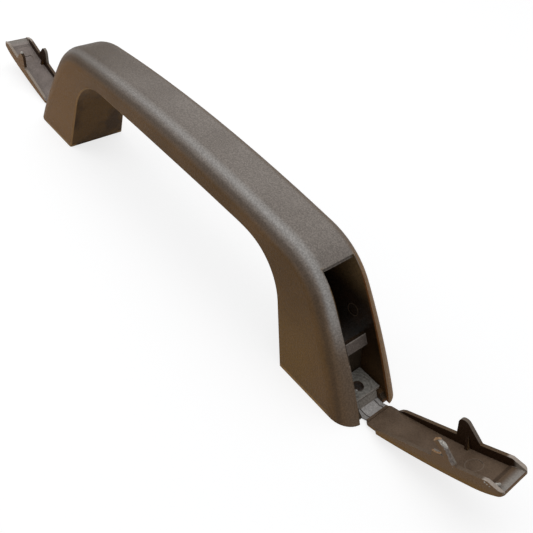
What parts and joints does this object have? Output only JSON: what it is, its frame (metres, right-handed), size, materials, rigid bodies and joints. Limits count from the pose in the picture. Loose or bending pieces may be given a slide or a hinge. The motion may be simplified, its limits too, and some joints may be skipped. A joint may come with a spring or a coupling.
{
  "type": "door grab handle",
  "caption": "Arched door grab handle with hollow screw feet and hinged clip-in screw covers, shown open.",
  "frame": {"origin": "midway between the screw holes, on the mounting face under the feet", "axes": "+X along the grip, +Y across it, +Z away from the mounting face"},
  "size_m": [0.3444, 0.0296, 0.0585],
  "materials": {
    "handle_plastic": "fine grain",
    "lug_plastic": "fine grain",
    "cover_plastic": "fine grain"
  },
  "bodies": {
    "handle": {"handle": "handle_plastic", "right_screw_lug": "lug_plastic", "left_screw_lug": "lug_plastic"},
    "right_cover": {"right_cover": "cover_plastic"},
    "left_cover": {"left_cover": "cover_plastic"}
  },
  "joints": [
    {"name": "right_cover_hinge", "type": "hinge", "parent": "handle", "child": "right_cover", "pos_m": [0.1185, 0, 0.0004], "axis": [0, -1, 0], "range_deg": [-14, 95.5]},
    {"name": "left_cover_hinge", "type": "hinge", "parent": "handle", "child": "left_cover", "pos_m": [-0.1185, 0, 0.0004], "axis": [0, 1, 0], "range_deg": [0, 108.5]}
  ]
}
